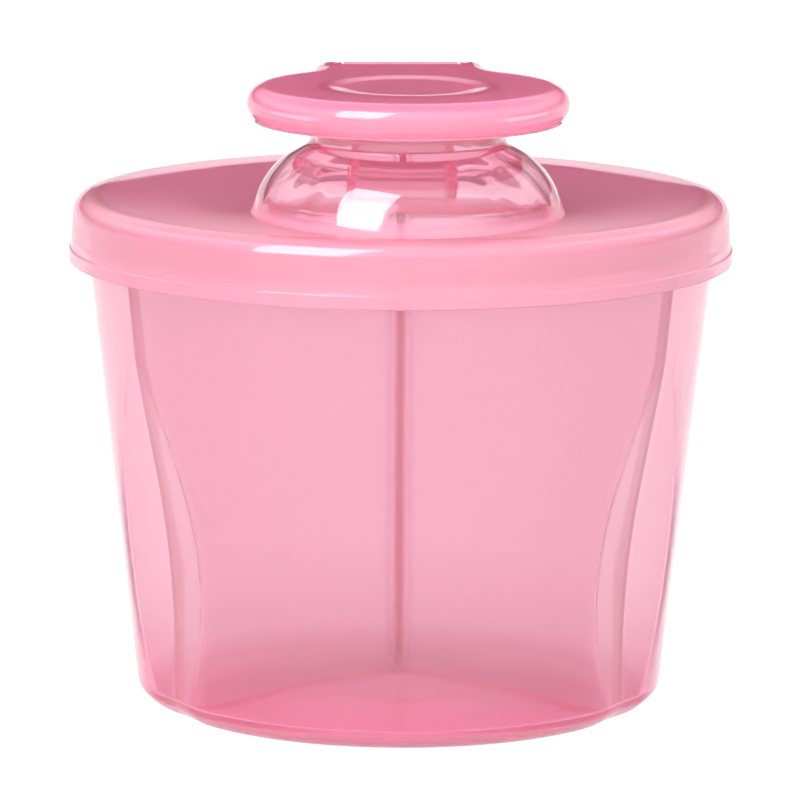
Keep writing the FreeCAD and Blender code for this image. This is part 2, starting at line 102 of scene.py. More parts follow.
# cap
CAP_RADIUS = 26.1
CAP_HEIGHT = 5.75
CAP_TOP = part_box("cap")[1].z / MM
EDGE_FLAT = 0.05
CAP_WALL = 1.6
DISH_RADIUS = 13.5
DISH_DEPTH = 0.315
DISH_SWEEP = 3.6
EAR_WIDTH = 4.7
EAR_CORNER = 0.25
TAIL_BLEND = 9.0
PLUG_LENGTH = 6.4
PLUG_WALL = 1.3
PLUG_TAPER = 0.6
# hinge
HINGE_REACH = 4.3
KNUCKLE_HALF = 9.5
HINGE_GAP = 0.3
PIN_RADIUS = 1.2
PIN_LENGTH = 2.6
PIN_PLAY = 0.05
BRACKET_WALL = 1.6

# places that several mouldings share
VALLEY_RADIUS = BASE_RADIUS - FLUTE_INSET
PLATE_UNDER = RIM_HEIGHT + RIM_GAP
LID_HEIGHT = PLATE_UNDER + PLATE
BEAD_RADIUS = BASE_RADIUS + WALL_DRAFT * RIM_HEIGHT + RIM_BEAD
SKIRT_INSIDE = BEAD_RADIUS + SLIP
SKIRT_OUTSIDE = SKIRT_INSIDE + SKIRT_WALL
CROWN_START = SKIRT_OUTSIDE - CROWN_WIDTH
SEAL_BOTTOM = PLATE_UNDER - SEAL_DEPTH
SEAL_OUTSIDE = BASE_RADIUS + WALL_DRAFT * SEAL_BOTTOM - WALL - SLIP
SEAL_INSIDE = SEAL_OUTSIDE - SEAL_WALL
SPOUT_OFFSET = SEAL_INSIDE - SPOUT_INSET - SPOUT_FOOT + SPOUT_WALL
CAP_BOTTOM = CAP_TOP - CAP_HEIGHT
CAP_EDGE = (CAP_HEIGHT - EDGE_FLAT) / 2
HINGE_HEIGHT = CAP_BOTTOM + CAP_HEIGHT / 2
HINGE_RADIUS = CAP_RADIUS + HINGE_REACH
NOTCH_HALF = KNUCKLE_HALF + HINGE_GAP


def cone_radius(height):
    """Outer radius of the container's wall at a height."""
    return BASE_RADIUS + WALL_DRAFT * height


def plate_fall(radius):
    """How far the lid's plate has fallen below its level middle at a radius."""
    share = np.maximum(radius - CROWN_START, 0) / CROWN_WIDTH
    return CROWN_FALL * share * share


# ---------------------------------------------------------------- drawing sections
ARC_STEP = math.radians(7.5)


def arc(start, end, radius, turn):
    """Points on the arc from start to end, without its ends. turn is 1 if anticlockwise."""
    start, end = np.array(start, float), np.array(end, float)
    chord = end - start
    across = np.array([-chord[1], chord[0]]) / np.hypot(*chord)
    half = np.hypot(*chord) / 2
    centre = (start + end) / 2 + across * turn * math.sqrt(max(radius ** 2 - half ** 2, 0))
    sweep = 2 * math.asin(min(half / radius, 1)) * turn
    first = math.atan2(*(start - centre)[::-1])
    steps = max(2, math.ceil(abs(sweep) / ARC_STEP))
    angles = first + sweep * np.arange(1, steps) / steps
    return [tuple(centre + radius * np.array([math.cos(a), math.sin(a)])) for a in angles]


def corner(before, point, after, radius):
    """The arc that rounds one corner of a section, with its ends."""
    before, point, after = (np.array(p, float) for p in (before, point, after))
    back = (before - point) / np.hypot(*(before - point))
    ahead = (after - point) / np.hypot(*(after - point))
    half_angle = math.acos(np.clip(back @ ahead, -1, 1)) / 2
    reach = radius / math.tan(half_angle)
    first, last = point + back * reach, point + ahead * reach
    turn = 1 if back[0] * ahead[1] - back[1] * ahead[0] < 0 else -1
    return [tuple(first)] + arc(first, last, radius, turn) + [tuple(last)]


def section(corners, closed=False):
    """A section's points. A corner is (x, z), or (x, z, radius) where it is rounded."""
    points = []
    count = len(corners)
    for index, spot in enumerate(corners):
        if len(spot) == 3:
            before, after = corners[index - 1], corners[(index + 1) % count]
            points += corner(before[:2], spot[:2], after[:2], spot[2])
        else:
            points.append(tuple(spot))
    if closed:
        points.append(points[0])
    return points


def divided(points, step):
    """The same section with no stretch longer than step."""
    result = [points[0]]
    for start, end in zip(points, points[1:]):
        start, end = np.array(start, float), np.array(end, float)
        parts = max(1, math.ceil(np.hypot(*(end - start)[:2]) / step - 1e-6))
        result += [tuple(start + (end - start) * k / parts) for k in range(1, parts + 1)]
    return result


def base_turn(line_radius, draft, level, inset):
    """Foot, middle and upper end of the two arcs that turn a wall under."""
    small, large = BASE_ROUND - inset, BASE_SWEEP - inset
    half_right = math.sqrt(0.5)
    steep = math.hypot(draft, 1)
    drop = (large - small) * half_right
    top = level + large - drop - small * draft / steep
    foot = line_radius + draft * top - small / steep - drop
    middle = (foot + large * half_right, level + large * (1 - half_right))
    return (foot, level), middle, (line_radius + draft * top, top)


def turned_under(line_radius, draft, level, inset):
    """The points of that turn, from the foot up to the wall."""
    foot, middle, top = base_turn(line_radius, draft, level, inset)
    return ([foot] + arc(foot, middle, BASE_SWEEP - inset, 1) + [middle]
            + arc(middle, top, BASE_ROUND - inset, 1) + [top])


FOOT_OUT = base_turn(BASE_RADIUS, WALL_DRAFT, 0, 0)[0][0]
FOOT_IN = FOOT_OUT - FOOT_WIDTH
TURN_TOP = base_turn(VALLEY_RADIUS, 0, 0, 0)[2][1]


def floor_dome(height, start):
    """The domed floor's points between its top at start and the foot ring."""
    reach = FOOT_IN - start
    dome = (reach ** 2 + FLOOR_RISE ** 2) / (2 * FLOOR_RISE)
    return arc((start, height + FLOOR_RISE), (FOOT_IN, height), dome, -1)


# ---------------------------------------------------------------- node writing
class Field:
    """One node socket. Arithmetic on it adds Math nodes to its tree."""

    def __init__(self, tree, socket):
        self.tree = tree
        self.socket = socket

    def math(self, operation, *others):
        return self.tree.add("ShaderNodeMath", {"operation": operation}, self, *others)

    def __add__(self, other):
        return self.math("ADD", other)

    def __sub__(self, other):
        return self.math("SUBTRACT", other)

    def __mul__(self, other):
        return self.math("MULTIPLY", other)

    def __truediv__(self, other):
        return self.math("DIVIDE", other)

    def __rsub__(self, other):
        return self.tree.add("ShaderNodeMath", {"operation": "SUBTRACT"}, other, self)

    __radd__ = __add__
    __rmul__ = __mul__

    def clamp(self, low, high):
        return self.math("MAXIMUM", low).math("MINIMUM", high)


class Tree:
    """A node tree that is written in calls."""

    def __init__(self, group):
        self.group = group

    def add(self, kind, settings=None, *inputs, out=0, **named):
        """Add a node: its settings first, a ramp's stops among them, then its inputs by
        order or by name. None leaves an input as it is."""
        node = self.group.nodes.new(kind)
        for name, value in (settings or {}).items():
            if name == "stops":
                set_stops(node.color_ramp, value)
            else:
                setattr(node, name, value)
        for socket, value in zip(node.inputs, inputs):
            self.feed(socket, value)
        for name, value in named.items():
            self.feed(node.inputs[name.replace("_", " ")], value)
        return Field(self, node.outputs[out]) if len(node.outputs) else None

    def feed(self, socket, value):
        if isinstance(value, Field):
            self.group.links.new(value.socket, socket)
        elif value is not None:
            socket.default_value = value

    def more(self, field, name):
        """Another output of the node that a field comes from."""
        return Field(self, field.socket.node.outputs[name])


def set_stops(ramp, stops):
    """Give a ramp its grey levels, as stops (place, level)."""
    while len(ramp.elements) < len(stops):
        ramp.elements.new(0.5)
    for element, (place, level) in zip(ramp.elements, stops):
        element.position = place
        element.color = (level, level, level, 1)


def empty_tree(owner):
    """The emptied node tree of a material or a world."""
    owner.use_nodes = True
    owner.node_tree.nodes.clear()
    return Tree(owner.node_tree)


def geometry_tree(name, inputs):
    """A geometry node group with named inputs. Returns it and its input fields."""
    group = bpy.data.node_groups.new(name, "GeometryNodeTree")
    group.interface.new_socket("Geometry", in_out="INPUT", socket_type="NodeSocketGeometry")
    for title, kind in inputs.items():
        group.interface.new_socket(title, in_out="INPUT", socket_type="NodeSocket" + kind)
    group.interface.new_socket("Geometry", in_out="OUTPUT", socket_type="NodeSocketGeometry")
    tree = Tree(group)
    entry = tree.add("NodeGroupInput")
    return group, tree, {title: tree.more(entry, title) for title in ["Geometry", *inputs]}


def finish_tree(tree, geometry, material):
    """Realize instances, merge doubles, set the material and put the result out."""
    solid = tree.add("GeometryNodeRealizeInstances", None, geometry)
    merged = tree.add("GeometryNodeMergeByDistance", None, solid, Distance=1e-6)
    coated = tree.add("GeometryNodeSetMaterial", None, merged, Material=material)
    tree.add("NodeGroupOutput", None, coated)


def grown(name, source, group, values):
    """Run a geometry tree on an object, and return the result as a plain mesh object."""
    modifier = source.modifiers.new(name, "NODES")
    modifier.node_group = group
    for item in group.interface.items_tree:
        if item.in_out == "INPUT" and item.name in values:
            modifier[item.identifier] = values[item.name]
    bpy.context.view_layer.update()
    graph = bpy.context.evaluated_depsgraph_get()
    mesh = bpy.data.meshes.new_from_object(source.evaluated_get(graph))
    bpy.data.objects.remove(source)
    mesh.name = name
    return linked(name, mesh)


def linked(name, data):
    """A new object in the scene, for a mesh, a lamp or the camera."""
    thing = bpy.data.objects.new(name, data)
    bpy.context.scene.collection.objects.link(thing)
    return thing


def line_object(name, points):
    """A line of points (x, y, z) in metres, as a mesh object."""
    mesh = bpy.data.meshes.new(name + "_line")
    mesh.from_pydata(points, [(i, i + 1) for i in range(len(points) - 1)], [])
    return linked(name + "_line", mesh)


# ---------------------------------------------------------------- mesh writing
def mesh_object(name, points, faces, material):
    """A closed mesh from points in millimetres, with its faces turned outwards."""
    mesh = bpy.data.meshes.new(name)
    mesh.from_pydata([tuple(p) for p in np.array(points) * MM], [], faces)
    mesh.materials.append(material)
    form = bmesh.new()
    form.from_mesh(mesh)
    bmesh.ops.remove_doubles(form, verts=form.verts, dist=1e-7)
    bmesh.ops.recalc_face_normals(form, faces=form.faces)
    if form.calc_volume(signed=True) < 0:
        bmesh.ops.reverse_faces(form, faces=form.faces)
    form.to_mesh(mesh)
    form.free()
    return linked(name, mesh)


def hoops(rings, ring_closed=True):
    """Faces between successive rings of the same number of points."""
    faces = []
    count = len(rings[0])
    around = range(count) if ring_closed else range(count - 1)
    for row in range(len(rings) - 1):
        for k in around:
            n = (k + 1) % count
            faces.append((row * count + k, row * count + n,
                          (row + 1) * count + n, (row + 1) * count + k))
    return faces


def smooth(thing, sharp_over):
    """Shade smooth, with the edges over an angle in degrees kept sharp."""
    thing.data.shade_smooth()
    thing.data.set_sharp_from_angle(angle=math.radians(sharp_over))
    return thing


def applied(thing, kind, **settings):
    """Add a modifier to a mesh object and apply it."""
    modifier = thing.modifiers.new(kind, kind)
    for name, value in settings.items():
        setattr(modifier, name, value)
    graph = bpy.context.evaluated_depsgraph_get()
    mesh = bpy.data.meshes.new_from_object(thing.evaluated_get(graph))
    thing.modifiers.clear()
    old = thing.data
    thing.data = mesh
    bpy.data.meshes.remove(old)
    mesh.name = thing.name
    return thing


def joined(thing, other, operation):
    """Combine a closed mesh with another, which is then removed."""
    applied(thing, "BOOLEAN", operation=operation, object=other, solver="EXACT")
    bpy.data.objects.remove(other)
    return thing


def turned_with_lid(thing, offset=0.0):
    """Turn a piece with the lid. offset is how far its own axis lies in front."""
    turn = Matrix.Rotation(LID_TURN, 4, "Z")
    thing.data.transform(turn @ Matrix.Translation((0, -offset * MM, 0)))
    return thing


# ---------------------------------------------------------------- container
FLUTES = 3
FLUTE_SHARE = 0.5          # share of the columns that lie in the flutes
FLUTE_LEAST = math.radians(4.0)    # smallest angle from a valley to the flute's edge
FLUTE_MOST = 0.8           # widest that a flute may be, as a share of its third of the wall
VALLEY_SOFT = 0.02         # sine of the angle over which a valley is rounded
EDGE_SOFT = 0.20           # twice how far the flute's edges are rounded off
RIM_ROUND = 0.2
WALL_STEP = 1.4            # longest stretch of the wall's sections
WALL_COLUMNS = 384


def fluted_turn_tree():
    """Turn a section round Z and press the flutes into it, with columns along their edges.
    The section's X is the radius and its Y is how far that surface lies inside the wall."""
    group, tree, given = geometry_tree("fluted_turn", {
        "Columns": "Int", "Radius": "Float", "Valley": "Float", "Turn Top": "Float",
        "Knee": "Float", "Bend": "Float", "Foot In": "Float", "Foot Out": "Float",
        "Material": "Material"})
    rows = tree.more(tree.add("GeometryNodeAttributeDomainSize", None, given["Geometry"]),
                     "Point Count")
    grid = tree.add("GeometryNodeMeshGrid", None, 1.0, 1.0, given["Columns"] + 1, rows)
    index = tree.add("GeometryNodeInputIndex")
    row = index.math("MODULO", rows)
    column = index.math("DIVIDE", rows).math("FLOOR")
    place = tree.add("GeometryNodeInputPosition")
    section_point = tree.add("GeometryNodeSampleIndex", {"data_type": "FLOAT_VECTOR"},
                             given["Geometry"], place, row)
    parts = tree.add("ShaderNodeSeparateXYZ", None, section_point)
    radius, inset, height = parts, tree.more(parts, "Y"), tree.more(parts, "Z")

    # the valley's distance from the axis: upright, then a long bend, then leaning out
    level = height.math("MAXIMUM", given["Turn Top"])
    steep = math.hypot(FLUTE_DRAFT, 1)
    bend = given["Bend"]
    bend_radius = bend * (FLUTE_DRAFT / (steep - 1))
    past_start = (level - (given["Knee"] - bend)).math("MAXIMUM", 0)
    bend_height = bend * (1 + 1 / steep)
    in_bend = past_start.math("MINIMUM", bend_height)
    above = (past_start - bend_height).math("MAXIMUM", 0)
    sag = bend_radius - (bend_radius * bend_radius - in_bend * in_bend).math("SQRT")
    valley = given["Valley"] - inset + sag + above * FLUTE_DRAFT
    wall = given["Radius"] - inset + level * WALL_DRAFT

    # columns: one share in the flute, the rest on the round wall between flutes
    third = 2 * math.pi / FLUTES
    lean = math.atan(FLUTE_OPEN)
    turned = column * FLUTES / given["Columns"]
    across = turned.math("FRACT") * 2 - 1
    share = across.math("ABSOLUTE")
    edge = (valley / wall * math.cos(lean)).clamp(-1, 1).math("ARCCOSINE") - lean
    edge = edge.clamp(FLUTE_LEAST, third / 2 * FLUTE_MOST)
    in_flute = share.math("MINIMUM", FLUTE_SHARE) * edge / FLUTE_SHARE
    on_wall = ((share - FLUTE_SHARE).math("MAXIMUM", 0) * (third / 2 - edge)
               / (1 - FLUTE_SHARE))
    swing = in_flute + on_wall
    sine = swing.math("SINE")
    opened = (sine * sine + VALLEY_SOFT ** 2).math("SQRT") - VALLEY_SOFT
    pressed = valley / (swing.math("COSINE") - opened * FLUTE_OPEN)
    press = wall - pressed
    press = (press + (press * press + (EDGE_SOFT * MM) ** 2).math("SQRT")) / 2
    on_ring = ((radius - given["Foot In"]) / (given["Foot Out"] - given["Foot In"])).clamp(0, 1)
    flat = radius - press * on_ring
    angle = (turned.math("FLOOR") * third + third / 2 + swing * across.math("SIGN")
             - math.pi / 2)
    spot = tree.add("ShaderNodeCombineXYZ", None, flat * angle.math("COSINE"),
                    flat * angle.math("SINE"), height)
    moved = tree.add("GeometryNodeSetPosition", None, grid, Position=spot)
    finish_tree(tree, moved, given["Material"])
    return group


def container_sections():
    """The wall's outer and inner half sections, each from the axis."""
    bead_foot = RIM_HEIGHT - BEAD_HEIGHT
    outer = [(0, FLOOR_RISE)] + floor_dome(0, 0) + [(FOOT_IN, 0)]
    outer += turned_under(BASE_RADIUS, WALL_DRAFT, 0, 0)
    outer += section([
        (cone_radius(TURN_TOP), TURN_TOP),
        (cone_radius(bead_foot - RIM_BEAD), bead_foot - RIM_BEAD),
        (BEAD_RADIUS, bead_foot),
        (BEAD_RADIUS, RIM_HEIGHT, RIM_ROUND),
        (cone_radius(RIM_HEIGHT) - WALL, RIM_HEIGHT),
    ])[1:-1]
    inner = [(0, FLOOR + FLOOR_RISE)] + floor_dome(FLOOR, 0) + [(FOOT_IN, FLOOR)]
    inner += turned_under(BASE_RADIUS - WALL, WALL_DRAFT, FLOOR, WALL)
    inner += section([
        (cone_radius(FLOOR + TURN_TOP) - WALL, FLOOR + TURN_TOP),
        (cone_radius(RIM_HEIGHT) - WALL, RIM_HEIGHT, RIM_ROUND),
        (BEAD_RADIUS, RIM_HEIGHT),
    ])[:-1]
    return divided(outer, WALL_STEP), divided(inner, WALL_STEP)


def build_container(material):
    """The cup: its section, turned and fluted."""
    outer, inner = container_sections()
    line = [(r * MM, 0.0, z * MM) for r, z in outer]
    line += [(r * MM, WALL * MM, z * MM) for r, z in reversed(inner)]
    cup = grown("cup", line_object("cup", line), fluted_turn_tree(), {
        "Columns": WALL_COLUMNS, "Radius": BASE_RADIUS * MM, "Valley": VALLEY_RADIUS * MM,
        "Turn Top": TURN_TOP * MM, "Knee": FLUTE_KNEE * MM, "Bend": FLUTE_BEND * MM,
        "Foot In": FOOT_IN * MM, "Foot Out": FOOT_OUT * MM, "Material": material})
    return smooth(cup, sharp_over=40)


# ---------------------------------------------------------------- divider
BLADE_STEP = 1.5           # longest stretch of a blade's outline
BLADE_POINTS = 60          # points up a blade's outer edge
BLADE_BEVEL = 0.15         # at most: where points lie close, the bevel is clamped
ROUND_STEPS = 8            # steps of the round between two blades


def valley_radius(height):
    """Axis to the outside of the wall in a flute's valley."""
    steep = math.hypot(FLUTE_DRAFT, 1)
    bend_radius = FLUTE_BEND * FLUTE_DRAFT / (steep - 1)
    past = max(height - (FLUTE_KNEE - FLUTE_BEND), 0)
    in_bend = min(past, FLUTE_BEND + FLUTE_BEND / steep)
    sag = bend_radius - math.sqrt(bend_radius ** 2 - in_bend ** 2)
    return VALLEY_RADIUS + sag + (past - in_bend) * FLUTE_DRAFT


def blade_edges(core):
    """The blade's outline as four lines of (r, z): core, outer edge, foot and top."""
    inset = WALL + SLIP
    floor = FLOOR + SLIP
    top = PLATE_UNDER - SLIP
    notch, notch_radius = SEAL_BOTTOM - SLIP, SEAL_INSIDE - SLIP
    turn = turned_under(VALLEY_RADIUS - inset, 0, floor, inset)
    outer = turn + [(min(valley_radius(z), cone_radius(z)) - inset, z)
                    for z in np.linspace(turn[-1][1], notch, BLADE_POINTS)[1:]]
    outer += [(notch_radius, notch), (notch_radius, top - plate_fall(notch_radius))]
    outer = divided(outer, BLADE_STEP)
    foot = divided([(core, floor + FLOOR_RISE)] + floor_dome(floor, core)
                   + [(FOOT_IN, floor), turn[0]], BLADE_STEP)
    head = [(r, top - plate_fall(r)) for r in np.linspace(core, notch_radius, len(foot))]
    shares = np.linspace(0, 1, len(outer))
    low, high = foot[0][1], head[0][1]
    inner = [(core, low + (high - low) * share) for share in shares]
    return [np.array(line) for line in (inner, outer, foot, head)]


def patch(inner, outer, foot, head):
    """Fill between four lines: rows run up from foot to head, columns from core to edge."""
    rows, columns = len(inner), len(foot)
    up = np.linspace(0, 1, rows)[:, None, None]
    out = np.linspace(0, 1, columns)[None, :, None]
    between = (1 - out) * inner[:, None] + out * outer[:, None]
    stacked = (1 - up) * foot[None] + up * head[None]
    ends = ((1 - up) * ((1 - out) * foot[0] + out * foot[-1])
            + up * ((1 - out) * head[0] + out * head[-1]))
    return between + stacked - ends


def blade_sector(material):
    """One blade about +Y with the core's rounds on both sides of it. The neighbours' sectors
    make the same rounds, and the repeat merges them."""
    half = BLADE / 2
    half_sector = math.pi / FLUTES
    # centre of the round between two blades, where their sides meet it at y
    x = CORE_ROUND + half
    y = x / math.tan(half_sector)
    grid = patch(*blade_edges(y))
    rows = len(grid)
    sweep = np.linspace(0, half_sector, ROUND_STEPS + 1)[1:]
    loops = []
    for row in range(rows):
        height = grid[row, 0, 1]
        side = [(half, r, z) for r, z in grid[row]]
        core = [(x - CORE_ROUND * math.cos(a), y - CORE_ROUND * math.sin(a), height)
                for a in sweep]
        right = core[::-1] + side
        left = [(-beside, r, z) for beside, r, z in reversed(right)]
        loops.append(right + left)
    around = len(loops[0])
    points = [p for loop in loops for p in loop]
    faces = hoops(loops, ring_closed=False)
    for row, flip in ((0, False), (rows - 1, True)):
        base = row * around
        for k in range(around // 2 - 1):
            face = (base + k, base + k + 1, base + around - 2 - k, base + around - 1 - k)
            faces.append(face[::-1] if flip else face)
        points.append((0.0, 0.0, loops[row][0][2]))
        hub = (base, base + around - 1, len(points) - 1)
        faces.append(hub[::-1] if flip else hub)
    mesh = bpy.data.meshes.new("blade_sector")
    mesh.from_pydata([tuple(p) for p in np.array(points) * MM], [], faces)
    mesh.materials.append(material)
    return linked("blade_sector", mesh)


def repeat_tree():
    """Repeat a form evenly round Z."""
    group, tree, given = geometry_tree("repeat_round_axis", {
        "Count": "Int", "Material": "Material"})
    form = tree.add("GeometryNodeGeometryToInstance", None, given["Geometry"])
    copies = tree.add("GeometryNodeDuplicateElements", {"domain": "INSTANCE"}, form,
                      Amount=given["Count"])
    number = tree.more(copies, "Duplicate Index")
    turn = tree.add("ShaderNodeCombineXYZ", None, 0.0, 0.0,
                    number * (2 * math.pi) / given["Count"])
    spread = tree.add("GeometryNodeRotateInstances", None, copies, Rotation=turn)
    finish_tree(tree, spread, given["Material"])
    return group


def build_divider(material):
    """Three blades about the core, with a fine bevel on their edges."""
    blades = grown("blades", blade_sector(material), repeat_tree(),
                   {"Count": FLUTES, "Material": material})
    applied(blades, "BEVEL", width=BLADE_BEVEL * MM, segments=2, limit_method="ANGLE",
            angle_limit=math.radians(50))
    return smooth(blades, sharp_over=30)


# ---------------------------------------------------------------- lid
AROUND = 320               # points round each of the lid's circles
PLATE_STEPS = 25           # steps of the plate from the spout's circle to the lid's
SPOUT_STEP = 1.0           # longest stretch of the spout's section
SKIRT_STEP = 1.2           # and of the skirt's and the seal ring's
LIP_BEVEL = 0.3
BAND_FOOT_ROUND = 0.15
BAND_ROUND = BAND_PROUD * 0.9
SKIRT_ROUND = 0.2
SEAL_ROUND = 0.25
RIB_BACK_STEP = 0.05       # the ribs end just inside the knuckle and the panel's sides
RIB_SIDE_STEP = 0.01
RIB_TOP_SHARE = 0.8        # how far below the hinge's axis they end, in knuckle radii
KNUCKLE_ANGLES = np.linspace(0, math.pi, 21)
PIN_ANGLES = np.linspace(0, 2 * math.pi, 32, endpoint=False)


def spout_section(inset, neck_radius, top):
    """The spout's flank and neck from the foot up, as (r, z). inset moves it inwards."""
    neck_foot = LID_HEIGHT + NECK_FOOT - inset
    foot = SPOUT_FOOT - inset
    hip = (foot - HIP_INSET, LID_HEIGHT + HIP_HEIGHT)
    brow = (foot - BROW_INSET, LID_HEIGHT + BROW_HEIGHT - inset)
    flank = arc(hip, brow, FLANK_ROUND - inset, 1)
    return ([(foot, LID_HEIGHT), hip] + flank
            + section([brow, (neck_radius, neck_foot, NECK_ROUND), (neck_radius, top)]))


def skirt_section():
    """The lid's edge as (r, z): over the shoulder, round the band and up to the underside."""
    hollow = SHOULDER_ROUND - PLATE
    slope = CROWN_FALL * 2 / CROWN_WIDTH
    over = SKIRT_OUTSIDE - SHOULDER_ROUND * (1 - slope)
    under = SKIRT_INSIDE - hollow * (1 - slope)
    over_z = LID_HEIGHT - plate_fall(over)
    under_z = PLATE_UNDER - plate_fall(under)
    shoulder_foot = (SKIRT_OUTSIDE, over_z - SHOULDER_ROUND)
    hollow_foot = (SKIRT_INSIDE, under_z - hollow)
    band = SKIRT_OUTSIDE + SKIRT_FLARE
    band_top = SKIRT_BOTTOM + BAND_HEIGHT
    snap_wall = SKIRT_INSIDE + RIM_BEAD
    snap = RIM_HEIGHT - SNAP_DEPTH
    skirt = section([
        shoulder_foot,
        (band, band_top, BAND_FOOT_ROUND),
        (band + BAND_PROUD, band_top, BAND_ROUND),
        (band + BAND_PROUD, SKIRT_BOTTOM, BAND_ROUND),
        (snap_wall + SKIRT_FLARE, SKIRT_BOTTOM, SKIRT_ROUND),
        (snap_wall, snap - RIM_BEAD * 2),
        (SKIRT_INSIDE, snap - RIM_BEAD),
        (SKIRT_INSIDE, snap + RIM_BEAD),
        hollow_foot,
    ])
    return ([(over, over_z)] + arc((over, over_z), shoulder_foot, SHOULDER_ROUND, -1) + skirt
            + arc(hollow_foot, (under, under_z), hollow, 1) + [(under, under_z)])


def seal_section():
    """The seal ring that hangs from the plate inside the rim, as (r, z)."""
    return section([
        (SEAL_OUTSIDE, PLATE_UNDER - plate_fall(SEAL_OUTSIDE)),
        (SEAL_OUTSIDE, SEAL_BOTTOM, SEAL_ROUND),
        (SEAL_INSIDE, SEAL_BOTTOM, SEAL_ROUND),
        (SEAL_INSIDE, PLATE_UNDER - plate_fall(SEAL_INSIDE)),
    ])


def circles_at(offset, points):
    """A section's points as circles (offset, radius, height)."""
    return [(offset, r, z) for r, z in points]


def plate_circles(inner, outer, level):
    """Circles that carry the plate's surface from the spout's circle to the lid's."""
    return [(SPOUT_OFFSET * (1 - share), inner + (outer - inner) * share, level)
            for share in np.linspace(0, 1, PLATE_STEPS + 1)[1:-1]]


def lid_circles():
    """The lid's cover as a closed run of circles (spout offset, radius, height)."""
    top = CAP_TOP - CAP_WALL - SLIP
    bore_radius = NECK_RADIUS - NECK_WALL
    bore_foot = SPOUT_FOOT - SPOUT_WALL
    flank = spout_section(0.0, NECK_RADIUS, top)[:-1]
    bore = spout_section(SPOUT_WALL, bore_radius, top)[:-1]
    skirt, seal = skirt_section(), seal_section()
    outer_lip = [(NECK_RADIUS - LIP_BEVEL, top), (NECK_RADIUS, top - LIP_BEVEL)]
    inner_lip = [(bore_radius, top - LIP_BEVEL), (bore_radius + LIP_BEVEL, top)]
    return (circles_at(SPOUT_OFFSET, outer_lip + divided(flank[::-1], SPOUT_STEP))
            + plate_circles(SPOUT_FOOT, skirt[0][0], LID_HEIGHT)
            + circles_at(0.0, divided(skirt, SKIRT_STEP) + divided(seal, SKIRT_STEP))
            + plate_circles(bore_foot, SEAL_INSIDE, PLATE_UNDER)[::-1]
            + circles_at(SPOUT_OFFSET, [(bore_foot, PLATE_UNDER)] + divided(bore, SPOUT_STEP))
            + circles_at(SPOUT_OFFSET, inner_lip))


def build_lid_cover(material):
    """Plate, skirt, seal ring and spout: circles whose centres move from spout to lid."""
    angles = np.linspace(0, 2 * math.pi, AROUND, endpoint=False)
    loops = []
    for offset, radius, height in lid_circles():
        x, y = radius * np.cos(angles), radius * np.sin(angles) - offset
        # the plate's circles, and the spout's foot on it, follow its crown
        on_plate = 0 < offset < SPOUT_OFFSET or radius == SPOUT_FOOT
        fall = plate_fall(np.hypot(x, y)) if on_plate else np.zeros(AROUND)
        loops.append(np.stack([x, y, height - fall], axis=1))
    loops.append(loops[0])
    return mesh_object("lid_cover", np.concatenate(loops), hoops(loops), material)


def prism(name, outline, x_low, x_high, material):
    """A straight bar along X with its outline in (y, z)."""
    count = len(outline)
    points = [(x, y, z) for x in (x_low, x_high) for y, z in outline]
    sides = [(k, (k + 1) % count, (k + 1) % count + count, k + count) for k in range(count)]
    ends = [tuple(range(count))[::-1], tuple(range(count, count * 2))]
    return mesh_object(name, points, sides + ends, material)


def about_hinge(y, radius, angles):
    """Points (y, z) on a circle about the hinge's axis, which lies at y."""
    return [(y + radius * math.cos(a), HINGE_HEIGHT + radius * math.sin(a)) for a in angles]


def build_bracket(material):
    """The hinge bracket: back panel with the knuckle on it, two ribs and the pins."""
    radius = CAP_HEIGHT / 2
    hinge = HINGE_RADIUS - SPOUT_OFFSET
    foot = PLATE_UNDER + PLATE / 2
    back = hinge + radius
    inside = back - BRACKET_WALL
    rib_front = SPOUT_FOOT - SPOUT_WALL - SPOUT_OFFSET - SPOUT_WALL
    rib_back = inside + BRACKET_WALL / 2
    rib_top = HINGE_HEIGHT - radius * RIB_TOP_SHARE
    panel = [(back, foot)] + about_hinge(hinge, radius, KNUCKLE_ANGLES) + [
        (hinge - radius, HINGE_HEIGHT - radius / 2),
        (inside, HINGE_HEIGHT - radius),
        (inside, foot),
    ]
    form = prism("bracket", panel, -KNUCKLE_HALF, KNUCKLE_HALF, material)
    rib = [
        (rib_back, foot),
        (rib_back, rib_top),
        (hinge - radius + RIB_BACK_STEP, rib_top),
        (rib_front - BRACKET_WALL, LID_HEIGHT + HIP_HEIGHT * 2),
        (rib_front, foot),
    ]
    rib_side = KNUCKLE_HALF - RIB_SIDE_STEP
    for low in (-rib_side, rib_side - BRACKET_WALL):
        joined(form, prism("rib", rib, low, low + BRACKET_WALL, material), "UNION")
    reach = KNUCKLE_HALF + PIN_LENGTH
    pins = about_hinge(hinge, PIN_RADIUS, PIN_ANGLES)
    return joined(form, prism("pins", pins, -reach, reach, material), "UNION")


def build_lid(material):
    """The lid's cover and the hinge bracket, in one moulding."""
    cover = build_lid_cover(material)
    joined(cover, build_bracket(material), "UNION")
    cover.name = "turning_lid"
    return turned_with_lid(smooth(cover, sharp_over=28))


# ---------------------------------------------------------------- cap
CENTRE = 1e-4              # radius of the smallest loops, at the disc's middle
HOLLOW_BEVEL = 0.4         # bevel on the edges of the cap's hollow underside
DISH_STEPS = 7             # steps of the loops over the dish's level middle
SWEEP_STEPS = 8            # over its rise
TOP_STEPS = 6              # over the top outside it
EDGE_STEPS = 12            # over each half of the round edge


